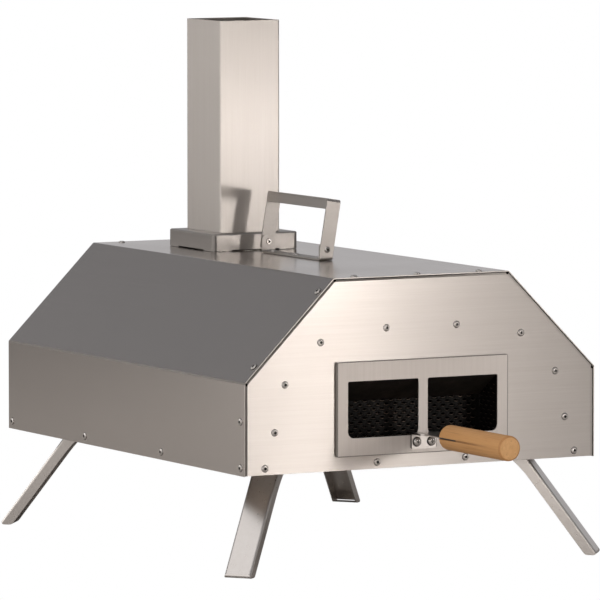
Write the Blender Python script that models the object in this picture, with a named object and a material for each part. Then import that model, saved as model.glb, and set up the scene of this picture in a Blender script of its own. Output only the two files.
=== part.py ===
"""Portable wood fired pizza oven, in metres, +Z up, standing on z = 0 with its centre at x = y = 0.

The fuel hatch is at the -Y end and the pizza mouth at the +Y end. The body is a bent sheet shell
on four folding legs, with a liner, a stone, a slide-out fuel basket, a lift-off chimney and a
fold-down carrying bail.
"""

import math

import bmesh
import bpy
from mathutils import Matrix, Vector

# Body shell
UNDERSIDE = 0.100
BODY_WIDTH = 0.400
BODY_DEPTH = 0.528
SHOULDER = 0.092
BODY_HEIGHT = 0.192
SHEET = 0.001
GAP = 0.0003
SHELL_BEND = 0.0015
PANEL_INSET = 0.0006
PANEL_FLANGE = 0.017
RELIEF_RADIUS = 0.0011
RELIEF_DEPTH = 0.002

# Base pan, liner and stone, with heights above the underside
PAN_TOP = 0.021
PAN_LIP = 0.0005
LINER_SIDE_INSET = 0.042
LINER_TOP = 0.1325
LINER_FLANGE = 0.016
STONE_SIZE = (0.300, 0.320, 0.012)
STONE_BOTTOM = 0.034
STONE_REAR = 0.226
STONE_CORNER = 0.006
STONE_EASE = 0.0015
STONE_RAIL_X = 0.128
STONE_RAIL_WIDTH = 0.022
STONE_RAIL_FOOT = 0.008
STONE_RAIL_SETBACK = 0.010

# Fuel hatch and basket
HATCH_WIDTH = 0.195
HATCH_LOW = 0.0143
HATCH_HIGH = 0.1085
HATCH_PROUD = 0.0030
HATCH_SHEET = 0.0012
HATCH_CORNER = 0.0015
HATCH_OPENING_MARGIN = 0.005
WINDOW_LOW = 0.0323
WINDOW_HIGH = 0.0889
WINDOW_INNER = 0.0052
WINDOW_OUTER = 0.0855
WINDOW_FOOT_CORNER = 0.0065
WINDOW_TOP_CORNER = 0.0015
BAFFLE_REACH = 0.0365
BAFFLE_DROP = 0.0230
BAFFLE_TAB = 0.012
BASKET_HALF_WIDTH = 0.088
BASKET_GRATE = 0.227
BASKET_BACK = 0.106
BASKET_FLANGE = 0.0915
BASKET_LOW = 0.0226
BASKET_HIGH = 0.094
BASKET_SHEET = 0.0012
BASKET_FLOOR_SETBACK = 0.0016
BASKET_RAIL_TOE = 0.078
BASKET_RAIL_UPSTAND = 0.012
BASKET_RAIL_PLAY = 0.0004
BASKET_RAIL_SPAN = (-0.256, -0.100)

# Pizza mouth and its door
MOUTH_HALF_WIDTH = 0.150
MOUTH_LOW = 0.035
MOUTH_HIGH = 0.124
DOOR_MARGIN = 0.010
DOOR_LIP = 0.008
DOOR_LIP_PLAY = 0.001
DOOR_GRIP_HEIGHT = 0.080

# Grips on the hatch and on the door
GRIP_DIAMETER = 0.025
GRIP_LENGTH = 0.119
GRIP_START = 0.319
GRIP_HEIGHT = 0.0343
GRIP_EASE = 0.0025
TONGUE_INSERT = 0.034
TONGUE_TAPER = (-0.010, -0.022)
TONGUE_NARROWING = 0.0035
BRACKET_WIDTH = 0.029
BRACKET_HEIGHT = 0.0168
BRACKET_SHEET = 0.0015
BRACKET_CORNER = 0.003
BRACKET_BEND = 0.002
SCREW_SPACING = 0.0165
SCREW_HEIGHT = -0.00095
SCREW_HEAD_RADIUS = 0.0046
SCREW_HEAD_HEIGHT = 0.0026
SCREW_DOME = ((0.48, 0.96), (0.80, 0.70), (1.0, 0.25), (1.0, 0.0))
SCREW_SHANK_RADIUS = 0.0020
SCREW_LENGTH = 0.0030
RECESS_ARM = 0.0022
RECESS_HALF_WIDTH = 0.0005
RECESS_DEPTH = 0.0015

# Chimney
CHIMNEY_Y = 0.137
CHIMNEY_SIZE = (0.070, 0.075)
CHIMNEY_TOP = 0.431
CHIMNEY_CORNER = 0.0016
COLLAR_SIZE = 0.100
COLLAR_HEIGHT = 0.018
COLLAR_CORNER = 0.004
COLLAR_RIM = 0.0015
COLLAR_FIT = 0.0002
COLLAR_FOOT = 0.022
COLLAR_RELIEF = 0.0012
SPIGOT_TOP = 0.228
SPIGOT_FLANGE = 0.010
SPIGOT_CORNER = 0.002
FLUE_FIT = 0.0002

# Carrying bail
BAIL_Y = -0.003
BAIL_SPAN = 0.1290
BAIL_STRIP = 0.0155
BAIL_PIVOT = 0.0113
BAIL_HEIGHT = 0.0520
BAIL_LEAN = math.radians(9.4)
BAIL_SHEET = 0.0015
BAIL_BEND = 0.002
BAIL_BRACKET_BEND = 0.0015
BAIL_GRIP_FLANGE = 0.0108
BAIL_GRIP_SHEET = 0.0013
BAIL_EAR_TOP = 0.0180
BAIL_EAR_CORNER = 0.005
BAIL_FOOT = 0.0075
BAIL_FOOT_CORNER = 0.003
BAIL_PIVOT_RADIUS = 0.002
BAIL_PIVOT_OUTER_HEAD = ((0.0011, 0.0004), (0.0013, 0.0016), (0.0028, 0.0012), (0.0036, 0.0))
BAIL_PIVOT_INNER_HEAD = ((0.0034, 0.0), (0.0030, 0.0012))

# Folding legs: a slope of 3 out for 4 down, turned in plan from the X axis
LEG_PIVOT = (0.1373, 0.2047, 0.009)
LEG_PLAN_ANGLE = math.radians(39.3)
LEG_SIN = 0.6
LEG_COS = 0.8
LEG_WIDTH = 0.028
LEG_SHEET = 0.0012
LEG_BEND = 0.002
LEG_BACK = 0.0085
LEG_FLANGE = 0.011
LEG_FLARE = 0.040
LEG_FLARE_STEPS = 6
LEG_FOOT_CORNERS = (0.005, 0.0025)
LEG_PIN_RADIUS = 0.0025
LEG_PIN_HEAD_RADIUS = 0.0042
LEG_PIN_HEAD_HEIGHT = 0.0012
LEG_BRACKET_SHEET = 0.0015
LEG_BRACKET_BEND = 0.0012
LEG_BRACKET_PLATE = (-0.015, 0.0125)
LEG_BRACKET_PLAY = 0.0005
LEG_STOP_TAB = (0.005, 0.013)
LEG_EAR_RADIUS = 0.0055
LEG_EAR_BASE = (-0.008, 0.002)

# Pop rivets of the burner end: places across and above the underside
RIVET_HEAD_RADIUS = 0.0038
RIVET_HEAD_HEIGHT = 0.0017
RIVET_SHANK_RADIUS = 0.0016
RIVET_SHANK_LENGTH = 0.004
RIVET_EYE_RADIUS = 0.0011
RIVET_RIM = 0.0003
RIVET_SPOTS = (
    (0.1660, 0.0420),
    (0.1545, 0.0888),
    (0.1145, 0.1290),
    (0.0400, 0.1405),
    (0.1770, 0.0070),
    (0.0505, 0.0070),
)

# How far a cutting shape runs past the faces it cuts, and how far it stands off a face it doesn't
OVERRUN = 0.010
OFFSET = 0.0002

BORE_CLEARANCE = 0.0003
BORE_SIDES = 12
BEND_STEPS = 3
SMOOTH_ANGLE = math.radians(40)
END = BODY_DEPTH / 2
PANEL_FACE = END - PANEL_INSET


# ---------------------------------------------------------------- materials


def material(name, colour, roughness, metallic):
    made = bpy.data.materials.new(name)
    made.use_nodes = True
    shader = made.node_tree.nodes["Principled BSDF"]
    shader.inputs["Base Color"].default_value = (*colour, 1.0)
    shader.inputs["Roughness"].default_value = roughness
    shader.inputs["Metallic"].default_value = metallic
    made.diffuse_color = (*colour, 1.0)
    return made


def steel(name):
    return material(name, (0.62, 0.58, 0.55), 0.32, 1.0)


def bright_steel(name):
    return material(name, (0.72, 0.70, 0.68), 0.22, 1.0)


def sooty_steel(name):
    return material(name, (0.10, 0.09, 0.085), 0.60, 1.0)


def wood(name):
    return material(name, (0.58, 0.33, 0.15), 0.55, 0.0)


def stone(name):
    return material(name, (0.62, 0.53, 0.40), 0.90, 0.0)


# ---------------------------------------------------------------- outlines


def turned(vector, angle):
    return Matrix.Rotation(angle, 2) @ vector


def bend_side(path, offset, radius):
    """The line at offset to the left of a bent path, with its corners rounded about shared centres."""
    points = [Vector(point) for point in path]
    ways = [(after - before).normalized() for before, after in zip(points, points[1:])]
    left = [Vector((-way.y, way.x)) for way in ways]
    line = [points[0] + left[0] * offset]
    for corner, before, after, normal in zip(points[1:], ways, ways[1:], left):
        turn = math.atan2(before.cross(after), before.dot(after))
        side = math.copysign(1.0, turn)
        centre = corner - before * radius * math.tan(abs(turn) / 2) + normal * radius * side
        arm = normal * (offset - radius * side)
        line += [centre + turned(arm, turn * step / BEND_STEPS) for step in range(BEND_STEPS + 1)]
    return line + [points[-1] + left[-1] * offset]


def sheet_outline(path, thickness, radius):
    """The closed section of a bent sheet, given the line through the middle of its thickness."""
    near = bend_side(path, thickness / 2, radius)
    far = bend_side(path, -thickness / 2, radius)
    return near + far[::-1]


def rounded_corners(corners, radii, steps=BEND_STEPS):
    """A closed outline whose corners are rounded, each by its own radius."""
    outline = []
    for index, (corner, radius) in enumerate(zip(corners, radii)):
        here = Vector(corner)
        before = (Vector(corners[index - 1]) - here).normalized()
        after = (Vector(corners[(index + 1) % len(corners)]) - here).normalized()
        if radius == 0:
            outline.append(here)
            continue
        half = before.angle(after) / 2
        centre = here + (before + after).normalized() * radius / math.sin(half)
        first = here + before * radius / math.tan(half) - centre
        last = here + after * radius / math.tan(half) - centre
        turn = math.atan2(first.cross(last), first.dot(last))
        outline += [centre + turned(first, turn * step / steps) for step in range(steps + 1)]
    return outline


def rounded_box(width, height, radius, steps=BEND_STEPS):
    corners = [(-width / 2, -height / 2), (width / 2, -height / 2)]
    corners += [(width / 2, height / 2), (-width / 2, height / 2)]
    return rounded_corners(corners, [radius] * 4, steps)


def rectangle(low_x, high_x, low_y, high_y):
    return [(low_x, low_y), (high_x, low_y), (high_x, high_y), (low_x, high_y)]


def circle(radius, sides=BORE_SIDES, centre=(0.0, 0.0), start=0.0):
    """A round outline with its first corner at the start angle."""
    angles = [start + math.tau * step / sides for step in range(sides)]
    return [(centre[0] + radius * math.cos(a), centre[1] + radius * math.sin(a)) for a in angles]


def body_section(inset, top_inset, low):
    """The six corners of the body's section at an inset from the shell's faces, from the bottom left."""
    half = BODY_WIDTH / 2 - inset
    high = BODY_HEIGHT - top_inset
    diagonal = BODY_WIDTH / 2 + SHOULDER - inset * math.sqrt(2)
    left = [(-half, low), (-half, diagonal - half), (high - diagonal, high)]
    right = [(-across, up) for across, up in reversed(left)]
    return [(across, UNDERSIDE + up) for across, up in left + right]


# ---------------------------------------------------------------- solids

AXES = {
    "x": lambda a, b, along: (along, a, b),
    "y": lambda a, b, along: (a, along, b),
    "z": lambda a, b, along: (a, b, along),
}


def add_loop(mesh, outline, axis, along):
    return [mesh.verts.new(AXES[axis](point[0], point[1], along)) for point in outline]


def bridge(mesh, first, second):
    for index in range(len(first)):
        following = (index + 1) % len(first)
        mesh.faces.new((first[index], first[following], second[following], second[index]))


def add_prism(mesh, outline, axis, low, high):
    """A flat outline pushed along an axis, closed at both ends."""
    start = add_loop(mesh, outline, axis, low)
    end = add_loop(mesh, outline, axis, high)
    mesh.faces.new(start)
    mesh.faces.new(end)
    bridge(mesh, start, end)


def add_box(mesh, x, y, z):
    add_prism(mesh, rectangle(*x, *y), "z", *z)


def add_tube(mesh, outer, inner, low, high):
    """An upright tube between two outlines with the same number of points."""
    loops = [add_loop(mesh, outline, "z", along) for outline in (outer, inner) for along in (low, high)]
    outer_low, outer_high, inner_low, inner_high = loops
    bridge(mesh, outer_low, outer_high)
    bridge(mesh, inner_high, inner_low)
    bridge(mesh, inner_low, outer_low)
    bridge(mesh, outer_high, inner_high)


def add_turned(mesh, profile, sides, axis="y"):
    """A closed turned solid: profile runs from the axis out and back to it as (radius, along)."""
    rings = []
    for radius, along in profile:
        if radius == 0:
            rings.append([mesh.verts.new(AXES[axis](0, 0, along))])
            continue
        rings.append(add_loop(mesh, circle(radius, sides), axis, along))
    for first, second in zip(rings, rings[1:]):
        for index in range(sides):
            following = (index + 1) % sides
            if len(first) == 1:
                mesh.faces.new((first[0], second[index], second[following]))
            elif len(second) == 1:
                mesh.faces.new((first[index], first[following], second[0]))
            else:
                mesh.faces.new((first[index], first[following], second[following], second[index]))


def mesh_object(name, mesh, finish=None, is_round=False):
    """Turns a bmesh into an object with its faces pointing out."""
    bmesh.ops.recalc_face_normals(mesh, faces=mesh.faces)
    data = bpy.data.meshes.new(name)
    mesh.to_mesh(data)
    mesh.free()
    if is_round:
        data.shade_smooth()
        data.set_sharp_from_angle(angle=SMOOTH_ANGLE)
    if finish:
        data.materials.append(finish)
    made = bpy.data.objects.new(name, data)
    bpy.context.collection.objects.link(made)
    return made


def prism(name, outline, axis, low, high, finish=None):
    mesh = bmesh.new()
    add_prism(mesh, outline, axis, low, high)
    return mesh_object(name, mesh, finish)


def tool(made):
    """Marks an object as a cutting or joining shape, which isn't a part."""
    made.hide_render = True
    made.display_type = "WIRE"
    return made


def combine(target, other, operation):
    modifier = target.modifiers.new(f"{operation.lower()} {other.name}", "BOOLEAN")
    modifier.operation = operation
    modifier.solver = "EXACT"
    modifier.object = tool(other)


def cut(target, *others):
    for other in others:
        combine(target, other, "DIFFERENCE")


def join(target, *others):
    for other in others:
        combine(target, other, "UNION")


def moved(made, location, turn=0.0):
    made.location = location
    made.rotation_euler = (0, 0, turn)
    return made


def copy_of(source, name, location):
    """A second object of the same mesh at another place."""
    made = bpy.data.objects.new(name, source.data)
    bpy.context.collection.objects.link(made)
    return moved(made, location)


# ---------------------------------------------------------------- shell and ends


def outer_shell():
    path = body_section(SHEET / 2, SHEET / 2, 0.0)
    outline = sheet_outline(path, SHEET, SHELL_BEND)
    shell = prism("outer_shell", outline, "y", -END, END, steel("shell steel"))
    roof = UNDERSIDE + BODY_HEIGHT
    cut(shell, prism("shell flue hole", flue_outline(FLUE_FIT), "z", roof - OVERRUN, roof + OVERRUN))


def end_panel(name, opening):
    """A sheet that closes one end, with flanges that stand inside the shell. It faces -Y as made."""
    inset = SHEET + GAP
    front = body_section(inset, inset, PAN_LIP)
    hollow = body_section(inset + SHEET, inset + SHEET, -OVERRUN)
    flange_end = PANEL_FLANGE - PANEL_FACE
    panel = prism(name, front, "y", -PANEL_FACE, flange_end, steel(f"{name} steel"))
    inner = prism(f"{name} hollow", hollow, "y", SHEET - PANEL_FACE, flange_end + OVERRUN)
    through = prism(f"{name} opening", opening, "y", -PANEL_FACE - OVERRUN, OVERRUN - PANEL_FACE)
    cut(panel, inner, through, corner_reliefs(f"{name} reliefs", front[1:5]))
    return panel


def corner_reliefs(name, corners):
    """Round holes where the flanges of a panel part from each other at the bends."""
    mesh = bmesh.new()
    for corner in corners:
        hole = circle(RELIEF_RADIUS, 8, corner, math.pi / 8)
        add_prism(mesh, hole, "y", -PANEL_FACE - OVERRUN, RELIEF_DEPTH - PANEL_FACE)
    return mesh_object(name, mesh)


def rivet_bores():
    """Holes for the rivets of the burner end, through its panel and what it is riveted to."""
    mesh = bmesh.new()
    for across, up in rivet_places():
        hole = circle(RIVET_SHANK_RADIUS + BORE_CLEARANCE, 8, (across, UNDERSIDE + up))
        add_prism(mesh, hole, "y", -END - OVERRUN, -END + OVERRUN)
    return mesh_object("rivet bores", mesh)


def rivet_places():
    return [(side * across, up) for across, up in RIVET_SPOTS for side in (-1, 1)]


def burner_end_panel(bores):
    margin = HATCH_OPENING_MARGIN
    half = HATCH_WIDTH / 2 - margin
    opening = rectangle(-half, half, UNDERSIDE + HATCH_LOW + margin, UNDERSIDE + HATCH_HIGH - margin)
    cut(end_panel("burner_end_panel", opening), bores)


def mouth_outline(margin):
    """The pizza mouth's outline, grown outwards by a margin."""
    half = MOUTH_HALF_WIDTH + margin
    section = body_section(BODY_WIDTH / 2 - half, BODY_HEIGHT - MOUTH_HIGH - margin, MOUTH_LOW - margin)
    return section


def mouth_end_panel():
    panel = end_panel("mouth_end_panel", mouth_outline(0.0))
    panel.rotation_euler = (0, 0, math.pi)
    for modifier in panel.modifiers:
        modifier.object.rotation_euler = (0, 0, math.pi)


def base_pan(bores):
    half = BODY_WIDTH / 2 - 2 * (SHEET + GAP)
    depth = PANEL_FACE - SHEET - GAP
    mesh = bmesh.new()
    add_box(mesh, (-half, half), (-depth, depth), (UNDERSIDE + PAN_LIP, UNDERSIDE + PAN_TOP))
    pan = mesh_object("base_pan", mesh, steel("pan steel"))
    mesh = bmesh.new()
    hollow_top = UNDERSIDE + PAN_TOP - SHEET
    across, along = (SHEET - half, half - SHEET), (SHEET - depth, depth - SHEET)
    add_box(mesh, across, along, (UNDERSIDE - OVERRUN, hollow_top))
    cut(pan, mesh_object("pan hollow", mesh), bores)


# ---------------------------------------------------------------- liner, stone and flue


def liner_path(inset):
    """The liner's section from one foot over the roof to the other, at an inset from its outside."""
    top_inset = BODY_HEIGHT - LINER_TOP + inset
    return body_section(LINER_SIDE_INSET + inset, top_inset, PAN_TOP + GAP)


def oven_liner(bores):
    reach = PANEL_FACE - SHEET - GAP
    tunnel = sheet_outline(liner_path(SHEET / 2), SHEET, SHELL_BEND)
    liner = prism("oven_liner", tunnel, "y", -reach, reach, sooty_steel("liner steel"))
    band = sheet_outline(liner_path(-LINER_FLANGE / 2 + SHEET / 2), LINER_FLANGE - SHEET / 2, LINER_FLANGE)
    for end in (-1, 1):
        low, high = sorted((end * reach, end * (reach - SHEET)))
        join(liner, prism(f"liner flange {end}", band, "y", low, high))
    roof = UNDERSIDE + LINER_TOP
    hole = prism("liner flue hole", flue_outline(-SHEET), "z", roof - OVERRUN, roof + OVERRUN)
    cut(liner, hole, bores)


def flue_outline(growth):
    """The section of the flue spigot's outside, grown outwards, about the chimney's axis."""
    width, depth = (size - 2 * (SHEET + GAP) + 2 * growth for size in CHIMNEY_SIZE)
    outline = rounded_box(width, depth, SPIGOT_CORNER + growth)
    return [(point.x, point.y + CHIMNEY_Y) for point in outline]


def flue_spigot():
    """A short flanged duct from the liner's roof up through the shell, which the chimney drops over."""
    base = UNDERSIDE + LINER_TOP + GAP
    mesh = bmesh.new()
    add_tube(mesh, flue_outline(0.0), flue_outline(-SHEET), base, UNDERSIDE + SPIGOT_TOP)
    spigot = mesh_object("flue_spigot", mesh, sooty_steel("spigot steel"))
    mesh = bmesh.new()
    add_tube(mesh, flue_outline(SPIGOT_FLANGE), flue_outline(-SHEET / 2), base, base + SHEET)
    join(spigot, mesh_object("spigot flange", mesh))


def stone_rail(name, side):
    """A hat-section rail that carries one side of the stone."""
    foot = UNDERSIDE + PAN_TOP + GAP + SHEET / 2
    top = UNDERSIDE + STONE_BOTTOM - GAP - SHEET / 2
    half = STONE_RAIL_WIDTH / 2
    across = [-half - STONE_RAIL_FOOT, -half, -half, half, half, half + STONE_RAIL_FOOT]
    up = [foot, foot, top, top, foot, foot]
    path = [(side * STONE_RAIL_X + a, b) for a, b in zip(across, up)]
    front = STONE_REAR - STONE_SIZE[1] + STONE_RAIL_SETBACK
    outline = sheet_outline(path, SHEET, SHELL_BEND)
    prism(name, outline, "y", front, STONE_REAR - STONE_RAIL_SETBACK, sooty_steel(f"{name} steel"))


def pizza_stone():
    width, depth, thickness = STONE_SIZE
    outline = rounded_box(width, depth, STONE_CORNER)
    placed = [(point.x, point.y + STONE_REAR - depth / 2) for point in outline]
    bottom = UNDERSIDE + STONE_BOTTOM
    slab = prism("pizza_stone", placed, "z", bottom, bottom + thickness, stone("cordierite"))
    ease_rim(slab, STONE_EASE, 1)


def ease_rim(made, width, segments):
    """Bevels the sharp edges of an upright prism, which are those of its two ends."""
    bevel = made.modifiers.new("eased rim", "BEVEL")
    bevel.width = width
    bevel.segments = segments
    bevel.angle_limit = math.radians(60)


# ---------------------------------------------------------------- chimney


def tube_outlines(size, radius, wall):
    width, depth = size
    outer = rounded_box(width, depth, radius)
    inner = rounded_box(width - 2 * wall, depth - 2 * wall, radius - wall)
    return [[(point.x, point.y + CHIMNEY_Y) for point in outline] for outline in (outer, inner)]


def chimney_tube():
    outer, inner = tube_outlines(CHIMNEY_SIZE, CHIMNEY_CORNER, SHEET)
    mesh = bmesh.new()
    add_tube(mesh, outer, inner, UNDERSIDE + BODY_HEIGHT + GAP, UNDERSIDE + CHIMNEY_TOP)
    mesh_object("chimney_tube", mesh, steel("chimney steel"))


def chimney_collar():
    """A pressed square cover around the foot of the chimney, standing on its four corners."""
    low = UNDERSIDE + BODY_HEIGHT + GAP
    high = low + COLLAR_HEIGHT
    _, inner = tube_outlines((COLLAR_SIZE, COLLAR_SIZE), COLLAR_CORNER, SHEET)
    mesh = bmesh.new()
    add_domed(mesh, low, high)
    collar = mesh_object("chimney_collar", mesh, steel("collar steel"))
    hollow = prism("collar hollow", inner, "z", low - OVERRUN, high - SHEET)
    socket = [size + 2 * (GAP + COLLAR_FIT) for size in CHIMNEY_SIZE]
    hole, _ = tube_outlines(socket, CHIMNEY_CORNER + GAP, SHEET)
    through = prism("collar hole", hole, "z", low - OVERRUN, high + OVERRUN)
    cut(collar, hollow, through, collar_reliefs(low))


def add_domed(mesh, low, high):
    """The collar's outside: upright sides that turn in to its top by the rim's radius."""
    turn = [math.radians(angle) for angle in (0, 30, 60, 90)]
    levels = [(0.0, low)]
    levels += [(COLLAR_RIM * (1 - math.cos(a)), high - COLLAR_RIM * (1 - math.sin(a))) for a in turn]
    loops = []
    for inset, level in levels:
        size = COLLAR_SIZE - 2 * inset
        outline, _ = tube_outlines((size, size), COLLAR_CORNER - inset, 0.0)
        loops.append(add_loop(mesh, outline, "z", level))
    for first, second in zip(loops, loops[1:]):
        bridge(mesh, first, second)
    mesh.faces.new(loops[0])
    mesh.faces.new(loops[-1])


def collar_reliefs(low):
    """Shallow gaps in the collar's lower edge, between its corners."""
    half_gap = COLLAR_SIZE / 2 - COLLAR_FOOT
    reach = COLLAR_SIZE / 2 + OVERRUN
    top = low + COLLAR_RELIEF
    mesh = bmesh.new()
    along = (CHIMNEY_Y - half_gap, CHIMNEY_Y + half_gap)
    add_box(mesh, (-reach, reach), along, (low - OVERRUN, top))
    across = mesh_object("collar relief across", mesh)
    mesh = bmesh.new()
    along = (CHIMNEY_Y - reach, CHIMNEY_Y + reach)
    add_box(mesh, (-half_gap, half_gap), along, (low - OVERRUN - OFFSET, top))
    join(across, mesh_object("collar relief along", mesh))
    return across


# ---------------------------------------------------------------- carrying bail


def bail_bore(name, reach):
    """A bore along Y through both pivots, in the bail's own frame."""
    return prism(name, circle(BAIL_PIVOT_RADIUS + BORE_CLEARANCE), "y", -reach, reach)


def bail_bracket():
    """A strip with an ear turned up at each end, in a frame with its origin on the pivot line."""
    inner_span = BAIL_SPAN / 2 - BAIL_SHEET - GAP - BAIL_SHEET / 2
    base = GAP + BAIL_SHEET / 2 - BAIL_PIVOT
    top = BAIL_EAR_TOP - BAIL_PIVOT
    path = [(-inner_span, top), (-inner_span, base), (inner_span, base), (inner_span, top)]
    half = BAIL_STRIP / 2
    section = sheet_outline(path, BAIL_SHEET, BAIL_BRACKET_BEND)
    bracket = prism("bail_bracket", section, "x", -half, half, steel("bracket steel"))
    around = rectangle(-half - OFFSET, half + OFFSET, base - OVERRUN, top + OFFSET)
    trim = rounded_corners(around, [0, 0, BAIL_EAR_CORNER, BAIL_EAR_CORNER])
    shape = prism("ear shape", trim, "y", -BAIL_SPAN, BAIL_SPAN)
    combine(bracket, shape, "INTERSECT")
    bore = bail_bore("bracket bore", BAIL_SPAN)
    cut(bracket, bore)
    return bracket, (shape, bore)


def bail_handle():
    """The bail: two legs and a flanged grip bar, upright in a frame with its origin on the pivot line."""
    half = BAIL_STRIP / 2
    span = BAIL_SPAN / 2 - BAIL_SHEET / 2
    low = -BAIL_FOOT
    top = BAIL_HEIGHT - BAIL_SHEET / 2
    path = [(-span, low), (-span, top), (span, top), (span, low)]
    section = sheet_outline(path, BAIL_SHEET, BAIL_BEND)
    bail = prism("bail_handle", section, "x", -half, half, bright_steel("bail steel"))
    side = half - BAIL_SHEET / 2
    under, over = BAIL_HEIGHT - BAIL_GRIP_FLANGE, top - OFFSET
    channel = [(-side, under), (-side, over), (side, over), (side, under)]
    flanges = sheet_outline(channel, BAIL_GRIP_SHEET, BAIL_BRACKET_BEND)
    grip = prism("bail flanges", flanges, "y", 2 * OFFSET - span, span - 2 * OFFSET)
    join(bail, grip)
    around = rectangle(-half - OFFSET, half + OFFSET, low - OFFSET, BAIL_HEIGHT + OVERRUN)
    trim = rounded_corners(around, [BAIL_FOOT_CORNER, BAIL_FOOT_CORNER, 0, 0])
    shape = prism("bail foot shape", trim, "y", -BAIL_SPAN, BAIL_SPAN)
    combine(bail, shape, "INTERSECT")
    bore = bail_bore("bail bore", BAIL_SPAN)
    cut(bail, bore)
    return bail, (grip, shape, bore)


def bail_pivot(name, side):
    """A rivet through one ear and one leg of the bail, with a head outside and inside."""
    outside = BAIL_SPAN / 2 + GAP
    inside = BAIL_SPAN / 2 - 2 * BAIL_SHEET - 2 * GAP
    profile = [(0, outside + BAIL_PIVOT_OUTER_HEAD[0][1])]
    profile += [(radius, outside + along) for radius, along in BAIL_PIVOT_OUTER_HEAD]
    profile += [(BAIL_PIVOT_RADIUS, outside), (BAIL_PIVOT_RADIUS, inside)]
    profile += [(radius, inside - along) for radius, along in BAIL_PIVOT_INNER_HEAD]
    profile.append((0, inside - BAIL_PIVOT_INNER_HEAD[-1][1]))
    mesh = bmesh.new()
    add_turned(mesh, profile, BORE_SIDES)
    pivot = mesh_object(name, mesh, bright_steel(f"{name} steel"), is_round=True)
    return moved(pivot, bail_origin(), 0.0 if side > 0 else math.pi)


def bail_origin():
    return Vector((0, BAIL_Y, UNDERSIDE + BODY_HEIGHT + BAIL_PIVOT))


def carrying_bail():
    bracket, tools = bail_bracket()
    for made in (bracket, *tools):
        made.location = bail_origin()
    bail, tools = bail_handle()
    for made in (bail, *tools):
        made.location = bail_origin()
        made.rotation_euler = (0, BAIL_LEAN, 0)
    bail_pivot("bail_pivot_front", -1)
    bail_pivot("bail_pivot_rear", 1)


# ---------------------------------------------------------------- grips


def grip_bracket(name):
    """A small plate with a tongue bent out from its top edge. It faces -Y, its plate's back at y = 0."""
    front = -GAP - BRACKET_SHEET / 2
    tongue_end = -(GRIP_START - plate_face()) - TONGUE_INSERT
    low = -BRACKET_HEIGHT / 2
    high = BRACKET_HEIGHT / 2 - BRACKET_SHEET / 2
    path = [(front, low), (front, high), (tongue_end, high)]
    half = BRACKET_WIDTH / 2
    section = sheet_outline(path, BRACKET_SHEET, BRACKET_BEND)
    bracket = prism(name, section, "x", -half, half, bright_steel(f"{name} steel"))
    wide, narrow = half + OVERRUN, half - TONGUE_NARROWING
    taper_start, taper_end = TONGUE_TAPER
    right = [(narrow, tongue_end - OVERRUN), (narrow, taper_end), (wide, taper_start), (wide, OVERRUN)]
    left = [(-across, along) for across, along in reversed(right)]
    shape = prism(f"{name} outline", left + right, "z", -BRACKET_HEIGHT, BRACKET_HEIGHT)
    combine(bracket, shape, "INTERSECT")
    around = rectangle(-half - OFFSET, half + OFFSET, low - OFFSET, BRACKET_HEIGHT)
    plate = rounded_corners(around, [BRACKET_CORNER, BRACKET_CORNER, 0, 0])
    face = prism(f"{name} plate outline", plate, "y", tongue_end - OVERRUN, OVERRUN)
    combine(bracket, face, "INTERSECT")
    bores = screw_bores(f"{name} bores")
    cut(bracket, bores)
    return bracket, (shape, face, bores)


def plate_face():
    """How far from the oven's middle the outer faces of the hatch and of the door lie."""
    return END + HATCH_PROUD


def screw_places():
    """Where the two screws of a bracket sit, across and up from the middle of its plate."""
    return [(side * SCREW_SPACING / 2, SCREW_HEIGHT) for side in (-1, 1)]


def screw_bores(name, middle=(0.0, 0.0), along=0.0):
    """Bores for both screws of a bracket, about the middle of its plate."""
    mesh = bmesh.new()
    for across, up in screw_places():
        hole = circle(SCREW_SHANK_RADIUS + BORE_CLEARANCE, BORE_SIDES, (middle[0] + across, middle[1] + up))
        add_prism(mesh, hole, "y", along - OVERRUN / 2, along + OVERRUN / 2)
    return mesh_object(name, mesh)


def pan_screw(name):
    """A pan head screw with a cross recess, driven towards +Y. Its plate's back is at y = 0."""
    seat = -GAP * 2 - BRACKET_SHEET
    top = seat - SCREW_HEAD_HEIGHT
    profile = [(0, top)]
    profile += [(SCREW_HEAD_RADIUS * across, seat - SCREW_HEAD_HEIGHT * up) for across, up in SCREW_DOME]
    profile += [(SCREW_SHANK_RADIUS, seat), (SCREW_SHANK_RADIUS, SCREW_LENGTH), (0, SCREW_LENGTH)]
    mesh = bmesh.new()
    add_turned(mesh, profile, 16)
    screw = mesh_object(name, mesh, bright_steel(f"{name} steel"), is_round=True)
    recess = prism(f"{name} recess", cross_outline(), "y", top - OVERRUN, top + RECESS_DEPTH)
    cut(screw, recess)
    return screw, (recess,)


def cross_outline():
    """The outline of a cross recess: one arm's end, turned four times."""
    arm, half = RECESS_ARM, RECESS_HALF_WIDTH
    end = [Vector((half, -half)), Vector((arm, -half)), Vector((arm, half))]
    return [turned(corner, math.radians(90 * quarter)) for quarter in range(4) for corner in end]


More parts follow.
